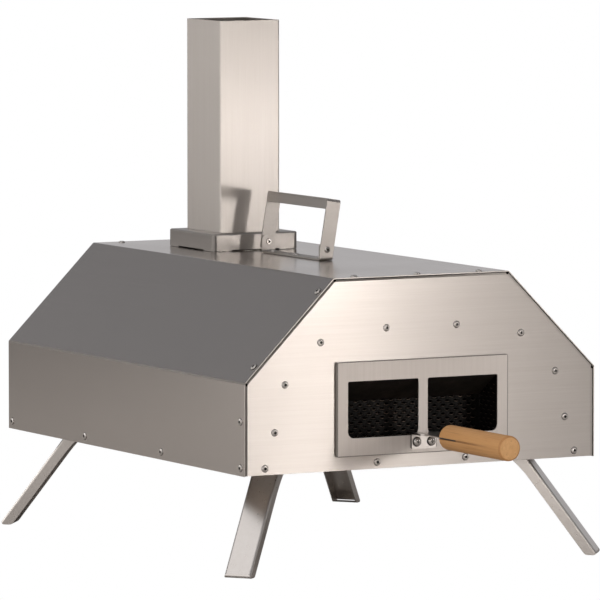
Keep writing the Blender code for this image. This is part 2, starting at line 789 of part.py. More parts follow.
def wooden_grip(name):
    """A dowel with eased ends and a slit across its inner end for the bracket's tongue."""
    radius = GRIP_DIAMETER / 2
    start = -(GRIP_START - plate_face())
    ease = [math.radians(angle) for angle in (0, 30, 60, 90)]
    rim = [(radius - GRIP_EASE * (1 - math.sin(a)), GRIP_EASE * (1 - math.cos(a))) for a in ease]
    profile = [(0, start)] + [(across, start - along) for across, along in rim]
    profile += [(across, start - GRIP_LENGTH + along) for across, along in reversed(rim)]
    profile.append((0, start - GRIP_LENGTH))
    mesh = bmesh.new()
    add_turned(mesh, profile, 32)
    grip = mesh_object(name, mesh, wood(f"{name} wood"), is_round=True)
    mesh = bmesh.new()
    slit = BRACKET_SHEET / 2 + GAP
    across, along = (-GRIP_DIAMETER, GRIP_DIAMETER), (start - TONGUE_INSERT - GAP, start + OVERRUN)
    add_box(mesh, across, along, (-slit, slit))
    slot = mesh_object(f"{name} slit", mesh)
    cut(grip, slot)
    return grip, (slot,)


def bracket_height(grip_height):
    """How high the middle of a bracket's plate is: its tongue, at the top, is level with the grip."""
    return UNDERSIDE + grip_height - BRACKET_HEIGHT / 2 + BRACKET_SHEET / 2


def handle(prefix, direction, height, names):
    """Bracket, two screws and a grip on a plate that faces direction (-1 or 1) along Y."""
    turn = 0.0 if direction < 0 else math.pi
    place = Vector((0, direction * plate_face(), UNDERSIDE + height))
    tongue = UNDERSIDE + height - bracket_height(height)
    bracket, tools = grip_bracket(names[0])
    for made in (bracket, *tools):
        moved(made, place - Vector((0, 0, tongue)), turn)
    grip, tools = wooden_grip(names[1])
    for made in (grip, *tools):
        moved(made, place, turn)
    for label, (across, up) in zip(("left", "right"), screw_places()):
        screw, tools = pan_screw(f"{prefix}_screw_{label}")
        for made in (screw, *tools):
            moved(made, place + Vector((across, 0, up - tongue)), turn)


# ---------------------------------------------------------------- fuel hatch


def hatch_plate():
    """A shallow tray with two air windows."""
    half = HATCH_WIDTH / 2
    low, high = UNDERSIDE + HATCH_LOW, UNDERSIDE + HATCH_HIGH
    back = -PANEL_FACE - GAP
    front = -plate_face()
    outline = rounded_corners(rectangle(-half, half, low, high), [HATCH_CORNER] * 4, 2)
    plate = prism("hatch_plate", outline, "y", front, back, steel("hatch steel"))
    wall = HATCH_SHEET
    inner = rectangle(-half + wall, half - wall, low + wall, high - wall)
    hollow = prism("hatch hollow", inner, "y", front + wall, back + OVERRUN)
    cut(plate, hollow)
    for side in (-1, 1):
        near, far = sorted((side * WINDOW_INNER, side * WINDOW_OUTER))
        window = rectangle(near, far, UNDERSIDE + WINDOW_LOW, UNDERSIDE + WINDOW_HIGH)
        shape = rounded_corners(window, [WINDOW_FOOT_CORNER] * 2 + [WINDOW_TOP_CORNER] * 2)
        cut(plate, prism(f"window {side}", shape, "y", front - OVERRUN, front + OVERRUN))
    cut(plate, screw_bores("hatch bores", (0.0, bracket_height(GRIP_HEIGHT)), front))


def hatch_baffle():
    """A sheet behind the hatch that slopes in and down from the windows' upper edges."""
    top = UNDERSIDE + WINDOW_HIGH
    middle = -plate_face() + HATCH_SHEET + GAP + SHEET / 2
    path = [(middle, top + BAFFLE_TAB), (middle, top), (middle + BAFFLE_REACH, top - BAFFLE_DROP)]
    outline = sheet_outline(path, SHEET, SHELL_BEND)
    prism("hatch_baffle", outline, "x", -WINDOW_OUTER, WINDOW_OUTER, sooty_steel("baffle steel"))


def fuel_basket():
    """An open-topped fuel box. A grate across it leaves an air box between the fuel and the hatch."""
    low, high = UNDERSIDE + BASKET_LOW, UNDERSIDE + BASKET_HIGH
    wall = BASKET_SHEET
    half = BASKET_HALF_WIDTH - wall / 2
    front = -plate_face() + HATCH_SHEET + GAP + wall / 2
    back = -BASKET_BACK - wall / 2
    path = [(-BASKET_FLANGE, front), (-half, front), (-half, back)]
    path += [(-across, along) for across, along in reversed(path)]
    walls = sheet_outline(path, wall, SHEET)
    basket = prism("fuel_basket", walls, "z", low + OFFSET, high, sooty_steel("basket steel"))
    mesh = bmesh.new()
    across = (OFFSET - half, half - OFFSET)
    add_box(mesh, across, (front + BASKET_FLOOR_SETBACK, back - OFFSET), (low, low + wall))
    floor = mesh_object("basket floor", mesh)
    mesh = bmesh.new()
    grate = (-BASKET_GRATE - wall / 2, -BASKET_GRATE + wall / 2)
    add_box(mesh, across, grate, (low + 2 * OFFSET, high - OFFSET))
    join(basket, floor, mesh_object("basket grate", mesh))


def basket_rail(name, side):
    """An angle that carries and guides one side of the fuel basket."""
    foot = UNDERSIDE + PAN_TOP + GAP + SHEET / 2
    outer = side * (BASKET_HALF_WIDTH + GAP + BASKET_RAIL_PLAY + SHEET / 2)
    path = [(side * BASKET_RAIL_TOE, foot), (outer, foot), (outer, foot + BASKET_RAIL_UPSTAND)]
    outline = sheet_outline(path, SHEET, SHEET)
    prism(name, outline, "y", *BASKET_RAIL_SPAN, sooty_steel(f"{name} steel"))


# ---------------------------------------------------------------- mouth door


def door_plate():
    """The door: a shallow tray over the mouth with a lip standing into it."""
    front, back = plate_face(), PANEL_FACE + GAP
    outline = mouth_outline(DOOR_MARGIN)
    plate = prism("door_plate", outline, "y", back, front, steel("door steel"))
    inner = mouth_outline(DOOR_MARGIN - HATCH_SHEET)
    cut(plate, prism("door hollow", inner, "y", back - OVERRUN, front - HATCH_SHEET))
    lip_back = END - DOOR_LIP
    outside = mouth_outline(-DOOR_LIP_PLAY)
    inside = mouth_outline(-DOOR_LIP_PLAY - HATCH_SHEET)
    lip = prism("door lip", outside, "y", lip_back, front - HATCH_SHEET / 2)
    cut(lip, prism("door lip hollow", inside, "y", lip_back - OVERRUN, front - HATCH_SHEET))
    join(plate, lip)
    cut(plate, screw_bores("door bores", (0.0, bracket_height(DOOR_GRIP_HEIGHT)), front))


# ---------------------------------------------------------------- folding legs


def leg_point(outward, along):
    """A point of a leg's side view: outward from the pivot square to the leg, and along it downwards."""
    return (outward * LEG_COS + along * LEG_SIN, outward * LEG_SIN - along * LEG_COS)


def foot_point(outward, rise):
    """The point of a line along the leg that is at a height above the ground."""
    drop = UNDERSIDE + LEG_PIVOT[2] - rise
    return leg_point(outward, (drop + outward * LEG_SIN) / LEG_COS)


def leg_outline():
    """The flange's outline seen from the side, with the pivot at the origin."""
    inner = LEG_BACK - LEG_FLANGE
    corners = [leg_point(LEG_BACK, 0), leg_point(inner, LEG_FLARE)]
    corners += [foot_point(inner, 0), foot_point(LEG_BACK, 0)]
    foot = rounded_corners(corners, [0, 0, *LEG_FOOT_CORNERS])
    flare = []
    for step in range(LEG_FLARE_STEPS, -1, -1):
        along = LEG_FLARE * step / LEG_FLARE_STEPS
        widen = (LEG_BACK + inner) * (1 - along / LEG_FLARE) ** 2
        flare.append(leg_point(inner - widen, along))
    turn = [math.radians(angle) for angle in range(160, -1, -20)]
    head = [leg_point(LEG_BACK * math.cos(a), -LEG_BACK * math.sin(a)) for a in turn]
    return head + foot[:1:-1] + flare


def folding_leg(name):
    """A channel with its web outwards and a sole turned in at the foot, its origin on the pivot."""
    half = LEG_WIDTH / 2
    leg = prism(name, leg_outline(), "y", -LEG_WIDTH, LEG_WIDTH, steel("leg steel"))
    web = LEG_BACK - LEG_SHEET
    hollow = [leg_point(web, -LEG_WIDTH), foot_point(web, LEG_SHEET), foot_point(-LEG_WIDTH, LEG_SHEET)]
    hollow.append(leg_point(-LEG_WIDTH, -LEG_WIDTH))
    inside = half - LEG_SHEET
    inner = prism(f"{name} hollow", hollow, "y", -inside, inside)
    bends = leg_bends(f"{name} bends", half)
    bore = pin_bore(f"{name} bore")
    combine(leg, bends, "INTERSECT")
    cut(leg, inner, bore)
    return leg, (inner, bends, bore)


def leg_bends(name, half):
    """A bar along the leg whose two outer edges have the radius of the sheet's bends."""
    outline = rectangle(-LEG_WIDTH, LEG_BACK, -half, half)
    section = rounded_corners(outline, [0, LEG_BEND, LEG_BEND, 0])
    mesh = bmesh.new()
    add_prism(mesh, section, "z", -LEG_WIDTH, 2 * UNDERSIDE)
    along_leg = Matrix(((LEG_COS, 0, LEG_SIN), (0, 1, 0), (LEG_SIN, 0, -LEG_COS)))
    bmesh.ops.transform(mesh, matrix=along_leg.to_4x4(), verts=mesh.verts)
    return mesh_object(name, mesh)


def pin_bore(name):
    return prism(name, circle(LEG_PIN_RADIUS + BORE_CLEARANCE), "y", -LEG_WIDTH, LEG_WIDTH)


def leg_bracket(name):
    """A plate under the pan with two ears for the pin and a tab that the opened leg leans on."""
    half = LEG_WIDTH / 2 - LEG_SHEET - LEG_BRACKET_PLAY
    sheet = LEG_BRACKET_SHEET
    level = PAN_TOP - SHEET - GAP - sheet / 2 - LEG_PIVOT[2]
    rest = LEG_BACK + GAP + sheet / 2
    path = [(along, level) for along in LEG_BRACKET_PLATE]
    path += [leg_point(rest, along) for along in LEG_STOP_TAB]
    section = sheet_outline(path, sheet, LEG_BRACKET_BEND)
    bracket = prism(name, section, "y", -half, half, steel("leg bracket steel"))
    ear = ear_side(level)
    tools = []
    for side in (-1, 1):
        low, high = sorted((side * half, side * (half - sheet)))
        tools.append(prism(f"{name} ear {side}", ear, "y", low, high))
        join(bracket, tools[-1])
    tools.append(pin_bore(f"{name} bore"))
    cut(bracket, tools[-1])
    return bracket, tools


def ear_side(level):
    """The side view of an ear: wide at the plate, round about the pin."""
    turn = [math.radians(angle) for angle in range(40, -181, -20)]
    base = [(along, level) for along in LEG_EAR_BASE]
    return base + [(LEG_EAR_RADIUS * math.cos(a), LEG_EAR_RADIUS * math.sin(a)) for a in turn]


def leg_pin(name):
    """A pin through the leg and its bracket, headed at both ends."""
    seat = LEG_WIDTH / 2 + GAP
    head, top = LEG_PIN_HEAD_RADIUS, seat + LEG_PIN_HEAD_HEIGHT
    half = [(0, top), (head * 0.7, top), (head, (seat + top) / 2), (head, seat), (LEG_PIN_RADIUS, seat)]
    profile = half + [(radius, -along) for radius, along in reversed(half)]
    mesh = bmesh.new()
    add_turned(mesh, profile, BORE_SIDES)
    return mesh_object(name, mesh, bright_steel("pin steel"), is_round=True)


def leg_set(corner, side_x, side_y):
    """One leg with its bracket and pin, turned to point out at a corner of the body."""
    place = (side_x * LEG_PIVOT[0], side_y * LEG_PIVOT[1], UNDERSIDE + LEG_PIVOT[2])
    turn = math.atan2(side_y * math.sin(LEG_PLAN_ANGLE), side_x * math.cos(LEG_PLAN_ANGLE))
    leg, leg_tools = folding_leg(f"leg_{corner}")
    bracket, bracket_tools = leg_bracket(f"leg_bracket_{corner}")
    for made in (leg, *leg_tools, bracket, *bracket_tools, leg_pin(f"leg_pin_{corner}")):
        moved(made, place, turn)


# ---------------------------------------------------------------- rivets


def burner_rivets():
    """Pop rivets of the burner end, each with the small eye that its pulled stem leaves."""
    seat = -PANEL_FACE - GAP
    top, rim, end = seat - RIVET_HEAD_HEIGHT, seat - RIVET_RIM, seat + RIVET_SHANK_LENGTH
    shoulder = (top + (rim - top) * 0.25, top + (rim - top) * 0.1)
    eye, head = RIVET_EYE_RADIUS, RIVET_HEAD_RADIUS
    profile = [(0, rim), (eye, rim), (eye, shoulder[1]), (eye * 1.4, top), (head * 0.72, shoulder[0])]
    profile += [(head, rim), (head, seat), (RIVET_SHANK_RADIUS, seat), (RIVET_SHANK_RADIUS, end), (0, end)]
    mesh = bmesh.new()
    add_turned(mesh, profile, BORE_SIDES)
    first = mesh_object("burner_rivet_01", mesh, bright_steel("rivet steel"), is_round=True)
    for number, (across, up) in enumerate(rivet_places(), start=1):
        place = (across, 0, UNDERSIDE + up)
        if number == 1:
            moved(first, place)
        else:
            copy_of(first, f"burner_rivet_{number:02d}", place)


# ---------------------------------------------------------------- the oven


def clear_scene():
    for existing in list(bpy.data.objects):
        bpy.data.objects.remove(existing)


def build_oven():
    clear_scene()
    bores = rivet_bores()
    outer_shell()
    burner_end_panel(bores)
    mouth_end_panel()
    base_pan(bores)
    oven_liner(bores)
    stone_rail("stone_rail_left", -1)
    stone_rail("stone_rail_right", 1)
    pizza_stone()
    flue_spigot()
    chimney_tube()
    chimney_collar()
    carrying_bail()
    hatch_plate()
    hatch_baffle()
    fuel_basket()
    basket_rail("basket_rail_left", -1)
    basket_rail("basket_rail_right", 1)
    handle("hatch", -1, GRIP_HEIGHT, ("hatch_bracket", "hatch_grip"))
    door_plate()
    handle("door", 1, DOOR_GRIP_HEIGHT, ("door_bracket", "door_grip"))
    leg_set("front_left", -1, -1)
    leg_set("front_right", 1, -1)
    leg_set("rear_left", -1, 1)
    leg_set("rear_right", 1, 1)
    burner_rivets()


build_oven()
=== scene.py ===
"""Looks of a portable wood fired pizza oven: brushed stainless, beech grips and a sooty fuel basket."""

import math

import bmesh
import bpy
from mathutils import Matrix, Vector


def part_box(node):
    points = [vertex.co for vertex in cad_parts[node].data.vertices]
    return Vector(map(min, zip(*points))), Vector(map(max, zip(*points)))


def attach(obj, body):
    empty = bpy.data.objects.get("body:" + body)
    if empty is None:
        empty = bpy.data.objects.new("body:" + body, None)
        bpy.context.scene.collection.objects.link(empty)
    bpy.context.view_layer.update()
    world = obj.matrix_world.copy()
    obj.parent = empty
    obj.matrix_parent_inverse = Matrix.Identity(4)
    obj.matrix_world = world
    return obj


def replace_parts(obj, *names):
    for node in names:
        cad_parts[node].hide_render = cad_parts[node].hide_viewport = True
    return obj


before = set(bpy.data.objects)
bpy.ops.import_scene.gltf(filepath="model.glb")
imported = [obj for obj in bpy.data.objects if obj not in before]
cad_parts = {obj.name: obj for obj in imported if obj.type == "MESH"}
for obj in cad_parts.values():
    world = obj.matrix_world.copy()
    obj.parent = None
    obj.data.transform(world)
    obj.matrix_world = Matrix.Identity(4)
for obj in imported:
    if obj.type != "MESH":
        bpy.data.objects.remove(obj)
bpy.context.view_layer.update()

MM = 0.001

# Slot of a piece's second material: a rivet's eye and seat in near-black painted shade, and the basket's
# lips brightened as a painted glint
SECOND = 1

# Camera: where it looks, from where, and how long its lens is
LOOK_AT = (0.0053, 0.0, 0.2465)
AZIMUTH = math.radians(-28.49)
ELEVATION = math.radians(4.878)
DISTANCE = 6.7845
LENS = 395.1
SENSOR = 36.0

# Pop rivets: the domed head, the hollow in it and the seat under it
RIVET_HEAD = 3.4 * MM
RIVET_RISE = 1.35 * MM
RIVET_LIP = 0.3 * MM
RIVET_EYE = 1.1 * MM
RIVET_EYE_RIM = 0.15 * MM
RIVET_EYE_FLOOR = 0.5 * MM
RIVET_EYE_TAPER = 0.9
RIVET_SEAT = 3.75 * MM
RIVET_SEAT_RISE = 0.12 * MM
RIVET_SIDES = 28
RIVET_SMOOTHING = 35
DOME_ARC = 78
DOME_STEPS = 7

# Pop rivets: heights over the shell's foot, places across and along it, and insets from its ends
SIDE_RIVET_HEIGHTS = (0.008, 0.0537)
SIDE_RIVET_INSET = 8.5 * MM
SIDE_RIVET_MIDDLE = 0.0855
CHAMFER_RIVETS = ((0.1851, 0.1074), (0.1135, 0.1790))
ROOF_RIVETS = (-0.0715, 0.0, 0.0715)
ROOF_RIVET_INSET = 10.5 * MM
BAIL_RIVETS = (-0.050, 0.0, 0.050)
BAIL_SHEET = 1.5 * MM

# Perforated sheet: its pitch along a row and between rows, its flat holes and the lip under each
HOLE_PITCH = 10.0 * MM
ROW_PITCH = 4.4 * MM
HOLE_WIDTH = 5.4 * MM
HOLE_HEIGHT = 2.7 * MM
HOLE_SIDES = 12
HOLE_START = 210
LIP = 1.0 * MM
LIP_CURL = 0.45 * MM
LIP_SIDES = 4
PERFORATED_SHEET = 0.8 * MM

# Fuel basket
BASKET_FLANGE = 3.5 * MM
GRATE_SETBACK = 1.3 * MM
FLOOR_SETBACK = 2.0 * MM
WELD = 0.01 * MM

# Grips
GRIP_SIDES = 72
GRIP_SMOOTHING = 50
GRIP_EASE = 2.5 * MM
GRIP_EASE_STEPS = 6
GRIP_SLIT = 1.8 * MM
GRIP_SLIT_PLAY = 0.5 * MM

# Noise frequencies in cycles a metre. Brushing and wood have one along the grain and one across it.
FINE_BRUSHING = (20.0, 2200.0)
COARSE_BRUSHING = (4.0, 330.0)
SMEARS = 7.0
SCUFFS = 220.0
SOOT_PATCHES, SOOT_GRIT = 28.0, 700.0
WOOD_GROWTH = (5.0, 260.0)
WOOD_PORES = (60.0, 1900.0)
WOOD_FLECKS = (14.0, 420.0)
STONE_PATCHES, STONE_SAND = 14.0, 900.0
EYE_SPECKLE = 900.0

# How far the roughness of brushed steel strays either way, and how strongly its smears darken it
ROUGHNESS_PLAY = 0.015
SMEAR_DARKNESS = 0.30

# Steel's two tones where it is brushed and where it is plain rolled, and the near-black painted shade of
# joins, bends, rims and hollows
STEEL_DARK, STEEL_LIGHT = (0.555, 0.515, 0.485), (0.63, 0.595, 0.565)
ROLLED_DARK, ROLLED_LIGHT = (0.57, 0.535, 0.505), (0.66, 0.63, 0.605)
PAINTED_SHADE_DARK = (0.02, 0.018, 0.016, 1.0)

# Tones of the other materials at places along their noise, and the tones mixed over them
SOOT_TONES = (
    (0.30, (0.010, 0.008, 0.007)),
    (0.55, (0.022, 0.018, 0.015)),
    (0.75, (0.045, 0.034, 0.027)),
)
BEECH_TONES = (
    (0.30, (0.62, 0.315, 0.118)),
    (0.52, (0.67, 0.35, 0.135)),
    (0.72, (0.715, 0.39, 0.158)),
)
FLECK_TONE = (0.38, 0.17, 0.055, 1.0)
PORE_TONE = (0.42, 0.20, 0.07, 1.0)
STONE_TONES = (
    (0.30, (0.42, 0.34, 0.24)),
    (0.55, (0.62, 0.53, 0.40)),
    (0.75, (0.72, 0.65, 0.53)),
)
TOAST_TONE = (0.23, 0.15, 0.09, 1.0)
EYE_TONES = (
    (0.3, (0.010, 0.009, 0.008)),
    (0.7, (0.035, 0.032, 0.030)),
)

# What the side grain's colour of a grip is multiplied by: darker round its turned rim, and lighter and
# cooler on its end faces as painted light
RIM_DARKENING, END_FACE_LIGHT = (0.80, 0.74, 0.68), (1.10, 1.16, 1.22)

# Outlines that the shading follows. Across and up add up to the diagonal along a panel's chamfers.
PANEL_DIAGONAL = 0.3902
PANEL_GAP = 0.5 * MM
PANEL_BEND = 2.4 * MM
PANEL_HOLE = 1.6 * MM
PANEL_HOLE_INSET = 0.8 * MM
SHELL_RIM = 0.2 * MM
SHELL_SHOULDER = (0.1995, 0.1918)
SHELL_BEND = 1.2 * MM
COLLAR_BEND = 4.5 * MM
PLATE_RIM = 0.7 * MM
PIVOT_EYE = 1.3 * MM
SCREW_EYE = 1.7 * MM
SCREW_DOME = 4.0 * MM
SCREW_SHADE = 5.1 * MM
BRACKET_RIM = 0.5 * MM
TONGUE_RIM = 0.2 * MM

# How strongly each of them is shaded or dulled, from nought to one. A panel's bends are shaded more on the
# left, and fade to the second shade between two places across the panel.
PANEL_BEND_SHADES = (0.42, 0.10)
PANEL_BEND_FADE = (-0.05, 0.12)
SHELL_BEND_SHADE = 0.42
SHELL_RIM_SHADE = 0.16
COLLAR_BEND_DULL = 0.30
PLATE_RIM_SHADE = 0.38
RECESS_SHADE = 0.85

# The surroundings that the steel mirrors. The sky turns from the horizon's tone to the top's between two
# heights, and the horizon's tone runs from in front of the oven to behind it.
SKY_RISE = (0.06, 0.45)
SKY_TOP = (0.24, 0.24, 0.25, 1.0)
HORIZON_TONES = (
    (0.20, (0.30, 0.285, 0.27)),
    (0.77, (0.50, 0.485, 0.47)),
    (0.93, (0.61, 0.60, 0.61)),
)
BLACK, WHITE = (0.0, 0.0, 0.0), (1.0, 1.0, 1.0)
FLOOR_SIZE = 60.0
FLOOR_TONE = (0.60, 0.57, 0.54, 1.0)

# Area lights: where each one hangs, what it faces, its width and height, its watts and its colour
BODY_MIDDLE = (0.0, 0.0, 0.22)
WARM = (1.0, 0.95, 0.91)
LIGHTS = {
    "key": ((0.684, -1.794, 0.32), (0.0, -0.2, 0.32), (0.16, 0.19), 2.7, WARM),
    "chimney fill": ((0.73, -1.85, 0.53), (0.0, -0.04, 0.50), (0.16, 0.14), 0.6, WARM),
    "low fill": ((0.78, -1.9, 0.07), (0.0, -0.26, 0.07), (0.7, 0.10), 0.7, WARM),
    "floor wash": ((0.8, -1.55, 0.45), (0.8, -1.55, 0.0), (0.9, 0.5), 3.0, WARM),
    "back wash": ((-1.1, 1.7, 0.9), (-1.1, 1.7, 0.0), (0.7, 0.7), 1.5, (1.0, 0.97, 0.94)),
    "front fill": ((-1.0, -1.65, 0.30), BODY_MIDDLE, (0.6, 0.5), 4.7, (1.0, 0.96, 0.92)),
    "left strip": ((-1.30, 1.09, 0.55), (0.0, 0.0, 0.40), (0.4, 0.8), 3.7, (1.0, 0.97, 0.94)),
    "left wall": ((-2.2, -0.9, 0.8), BODY_MIDDLE, (2.4, 1.6), 11.0, (1.0, 0.97, 0.95)),
    "overhead": ((-0.9, -0.1, 2.0), BODY_MIDDLE, (1.8, 1.8), 9.5, (1.0, 0.98, 0.97)),
}


def middle_of(node):
    """The middle of a CAD node's box."""
    low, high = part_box(node)
    return (low + high) / 2


# ---------------------------------------------------------------- node helpers


class Nodes:
    """A node tree with short ways to add nodes to it."""

    def __init__(self, tree):
        self.tree = tree

    def set(self, node, values):
        """Gives a node's inputs plain values or links from sockets."""
        for key, value in values.items():
            if isinstance(value, bpy.types.NodeSocket):
                self.tree.links.new(value, node.inputs[key])
            else:
                node.inputs[key].default_value = value

    def node(self, kind, values=None, **settings):
        """A new node with its settings and inputs filled in."""
        made = self.tree.nodes.new(kind)
        for key, value in settings.items():
            setattr(made, key, value)
        self.set(made, values or {})
        return made

    def ramp(self, value, *stops):
        """A colour ramp of (position, colour) stops."""
        ramp = self.node("ShaderNodeValToRGB", {"Fac": value})
        elements = ramp.color_ramp.elements
        while len(elements) < len(stops):
            elements.new(0.5)
        for element, (position, colour) in zip(elements, stops):
            element.position = position
            element.color = (*colour, 1.0)
        return ramp.outputs["Color"]

    def mix(self, factor, first, second, blend="MIX"):
        made = self.node("ShaderNodeMix", data_type="RGBA", blend_type=blend)
        self.set(made, {0: factor, 6: first, 7: second})
        return made.outputs[2]

    def math(self, operation, first, second):
        return self.node("ShaderNodeMath", {0: first, 1: second}, operation=operation).outputs[0]

    def show(self, lit, seen, output):
        """Gives light and mirrors one shader, and the camera's own view another."""
        direct = self.node("ShaderNodeLightPath").outputs["Is Camera Ray"]
        blend = self.node("ShaderNodeMixShader", {0: direct, 1: lit, 2: seen})
        self.node(output, {"Surface": blend.outputs[0]})


class Shader(Nodes):
    """A material under construction, built round its Principled shader."""

    def __init__(self, name, metallic=0.0, **values):
        self.material = bpy.data.materials.new(name)
        self.material.use_nodes = True
        super().__init__(self.material.node_tree)
        self.principled = self.tree.nodes["Principled BSDF"]
        self.set(self.principled, {"Metallic": metallic, **values})
        self.place = self.node("ShaderNodeTexCoord").outputs["Object"]

    def noise(self, scale, detail, rough, distortion=0.0):
        """Noise with its own frequency, in cycles a metre, along each axis."""
        mapped = self.node("ShaderNodeMapping", {"Vector": self.place, "Scale": scale})
        values = {"Vector": mapped.outputs["Vector"], "Scale": 1.0, "Detail": detail}
        values |= {"Roughness": rough, "Distortion": distortion}
        return self.node("ShaderNodeTexNoise", values).outputs["Fac"]

    def even_noise(self, frequency, detail=3.0, rough=0.5):
        """Noise that has the same frequency along every axis."""
        return self.noise((frequency, frequency, frequency), detail, rough)

    def grained_noise(self, grain, frequencies, detail=3.0, rough=0.5, distortion=0.0):
        """Noise with one frequency along its grain and another across it."""
        along, across = frequencies
        scale = [along if axis == grain else across for axis in "xyz"]
        return self.noise(scale, detail, rough, distortion)

    def spread(self, value, low, high, start=0.3, end=0.7):
        """Maps a value between start and end to low and high."""
        values = {"Value": value, "From Min": start, "From Max": end, "To Min": low, "To Max": high}
        return self.node("ShaderNodeMapRange", values).outputs["Result"]

    def bump(self, height, distance, strength, normal=None):
        """A normal that is roughened by a height, on top of another normal where one is given."""
        values = {"Height": height, "Distance": distance, "Strength": strength}
        if normal is not None:
            values["Normal"] = normal
        return self.node("ShaderNodeBump", values).outputs["Normal"]

    def along(self, axis):
        """Place along an axis."""
        return self.node("ShaderNodeSeparateXYZ", {0: self.place}).outputs[axis]

    def away(self, axis, middle=0.0):
        """Distance from a plane square to an axis."""
        return self.math("ABSOLUTE", self.math("SUBTRACT", self.along(axis), middle), 0.0)

    def past(self, value, limit):
        """One where a value is over a limit, nought elsewhere."""
        return self.math("GREATER_THAN", value, limit)

    def within(self, across, up, middle, radius):
        """One inside a circle in a plane, nought outside it."""
        spot = self.node("ShaderNodeCombineXYZ", {"X": across, "Y": up}).outputs["Vector"]
        values = {0: spot, 1: (*middle, 0.0)}
        away = self.node("ShaderNodeVectorMath", values, operation="DISTANCE").outputs["Value"]
        return self.math("LESS_THAN", away, radius)

    def eased_edges(self, radius):
        return self.node("ShaderNodeBevel", {"Radius": radius}, samples=4).outputs["Normal"]

    def finish(self, **values):
        self.set(self.principled, {key.replace("_", " "): value for key, value in values.items()})
        return self.material


# ---------------------------------------------------------------- materials


# Each grain leans a hair off its axis, so that a face square to it still has a grain
GRAINS = {"x": (1, 0.02, 0), "y": (0, 1, 0.02), "z": (0.02, 0, 1)}


def brushed_steel(
    name, grain, roughness, stretch, lines=1.0, ease=0.4 * MM, painted_shade=None, bends=None, tone=1.0
):
    """Sheet brushed along one axis, with faint smears, painted shade where a mask is given, rougher there
    too, and rougher bends where the brushing is lost.
    """
    dark, light = ([part * tone for part in colour] for colour in (STEEL_DARK, STEEL_LIGHT))
    made = Shader(name, metallic=1.0, Anisotropic=stretch)
    fine = made.grained_noise(grain, FINE_BRUSHING, 2.0)
    coarse = made.grained_noise(grain, COARSE_BRUSHING, 3.0, 0.55)
    cloud = made.even_noise(SMEARS)
    half = 0.25 / lines
    shine = made.spread(made.mix(0.45, fine, coarse), 0.0, 1.0, 0.5 - half, 0.5 + half)
    colour = made.ramp(shine, (0.0, dark), (1.0, light))
    colour = made.mix(made.spread(cloud, 0.0, SMEAR_DARKNESS), colour, (*dark, 1.0))
    broad = made.spread(cloud, roughness - ROUGHNESS_PLAY, roughness + ROUGHNESS_PLAY)
    rough = made.math("ADD", broad, made.spread(fine, -ROUGHNESS_PLAY, ROUGHNESS_PLAY))
    # Painted shade: the mask darkens the colour towards near-black and also roughens it
    if painted_shade:
        gap = painted_shade(made)
        colour = made.mix(gap, colour, PAINTED_SHADE_DARK)
        rough = made.math("ADD", rough, gap)
    if bends:
        rough = made.math("ADD", rough, bends(made))
    normal = made.bump(fine, 0.01 * MM, 0.15 * lines, made.eased_edges(ease))
    return made.finish(Base_Color=colour, Roughness=rough, Normal=normal, Tangent=brushing(made, grain))


def brushing(made, grain):
    """The direction square to the grain on every face."""
    facing = made.node("ShaderNodeNewGeometry").outputs["Normal"]
    along = made.node("ShaderNodeCombineXYZ", dict(zip("XYZ", GRAINS[grain]))).outputs["Vector"]
    crossed = made.node("ShaderNodeVectorMath", {0: facing, 1: along}, operation="CROSS_PRODUCT")
    return crossed.outputs["Vector"]


def panel_painted_shade(made):
    """Painted shade in the thin gap round a panel's face, on the rougher bend beside it, stronger on the
    left, and in the hole where two bends meet.
    """
    across, up = made.away("X"), made.along("Z")
    side, _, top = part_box("burner_end_panel")[1]
    slope = made.math("SUBTRACT", PANEL_DIAGONAL, made.math("ADD", across, up))
    edge = made.math("MULTIPLY", slope, math.sqrt(0.5))
    for reach, along in ((side, across), (top, up)):
        edge = made.math("MINIMUM", edge, made.math("SUBTRACT", reach, along))
    # Painted shade on the bend, stronger on the left and fading towards the right
    shade = made.spread(made.along("X"), *PANEL_BEND_SHADES, *PANEL_BEND_FADE)
    bend = made.math("MULTIPLY", made.math("LESS_THAN", edge, PANEL_BEND), shade)
    dark = made.math("MAXIMUM", bend, made.math("LESS_THAN", edge, PANEL_GAP))
    for reach, rise in ((side, PANEL_DIAGONAL - side), (PANEL_DIAGONAL - top, top)):
        corner = (reach - PANEL_HOLE_INSET, rise - PANEL_HOLE_INSET)
        dark = made.math("MAXIMUM", dark, made.within(across, up, corner, PANEL_HOLE))
    return dark


def shell_painted_shade(made):
    """Painted shade on the rougher cut edges at both ends of the shell, and on the rougher bends at its
    shoulders.
    """
    shoulder = made.within(made.away("X"), made.along("Z"), SHELL_SHOULDER, SHELL_BEND)
    bend = made.math("MULTIPLY", shoulder, SHELL_BEND_SHADE)
    end = made.past(made.away("Y"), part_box("outer_shell")[1].y - SHELL_RIM)
    return made.math("MAXIMUM", made.math("MULTIPLY", end, SHELL_RIM_SHADE), bend)


def collar_bends(made):
    """The upright bends at the collar's corners."""
    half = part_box("chimney_collar")[1].x
    nearest = made.math("MINIMUM", made.away("X"), made.away("Y", middle_of("chimney_collar").y))
    return made.math("MULTIPLY", made.past(nearest, half - COLLAR_BEND), COLLAR_BEND_DULL)


def plate_painted_shade(made):
    """Painted shade on the rougher rim round the hatch plate's face."""
    low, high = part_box("hatch_plate")
    side = made.past(made.away("X"), high.x - PLATE_RIM)
    end = made.past(made.away("Z", (low.z + high.z) / 2), (high.z - low.z) / 2 - PLATE_RIM)
    return made.math("MULTIPLY", made.math("MAXIMUM", side, end), PLATE_RIM_SHADE)


def pivot_painted_shade(made):
    """Painted shade in the hollow in the middle of each pivot of the bail."""
    return made.within(made.along("X"), made.along("Z"), middle_of("bail_pivot_front").xz, PIVOT_EYE)


